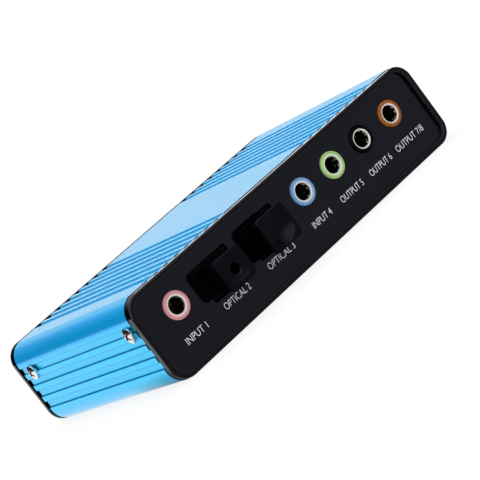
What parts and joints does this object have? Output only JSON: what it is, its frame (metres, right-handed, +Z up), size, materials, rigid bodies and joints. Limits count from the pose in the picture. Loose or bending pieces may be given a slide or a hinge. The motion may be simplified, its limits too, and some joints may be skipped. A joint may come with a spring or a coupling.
{
  "type": "usb sound card",
  "caption": "Ribbed blue aluminium tube with a black bezel that holds round audio sockets and plugged optical ports; data socket, lamp and headphone socket in the rear cap.",
  "frame": {"origin": "middle of the tube's flat underside", "axes": "+X along the socket panel, the panel faces -Y, +Z up"},
  "size_m": [0.0942, 0.0676, 0.0208],
  "materials": {
    "anodised_blue": "satin blue anodised, fine drawn lines along its length",
    "black_plastic": "satin moulded",
    "gloss_panel": "polished, black",
    "screw_nickel": "bright nickel",
    "card_green": "solder mask",
    "pink_plastic": "moulded",
    "blue_plastic": "moulded",
    "green_plastic": "moulded",
    "socket_black": "moulded",
    "brown_plastic": "moulded",
    "sleeve_nickel": "turned, bright",
    "gold_contact": "gold flashed",
    "optical_black": "moulded",
    "plug_black": "soft satin",
    "can_steel": "plated",
    "white_plastic": "moulded",
    "led_blue": "clear lens",
    "chip_black": "moulded",
    "capacitor_sleeve": "shrink sleeve",
    "ceramic": "fired ceramic"
  },
  "bodies": {
    "root": {"shell": "anodised_blue", "front_bezel": "black_plastic", "front_panel": "gloss_panel", "rear_cap": "black_plastic", "side_screws": "screw_nickel", "circuit_board": "card_green", "mic_jack": "pink_plastic", "line_jack": "blue_plastic", "front_jack": "green_plastic", "surround_jack": "socket_black", "center_jack": "brown_plastic", "headphone_jack": "socket_black", "jack_sleeves": "sleeve_nickel", "jack_contacts": "gold_contact", "optical_receiver": "optical_black", "optical_transmitter": "optical_black", "receiver_plug": "plug_black", "transmitter_plug": "plug_black", "usb_can": "can_steel", "usb_insulator": "white_plastic", "usb_contacts": "gold_contact", "power_led": "led_blue", "audio_chip": "chip_black", "line_drivers": "chip_black", "voltage_regulator": "chip_black", "crystal": "can_steel", "capacitors": "capacitor_sleeve", "chip_parts": "ceramic"}
  },
  "joints": []
}
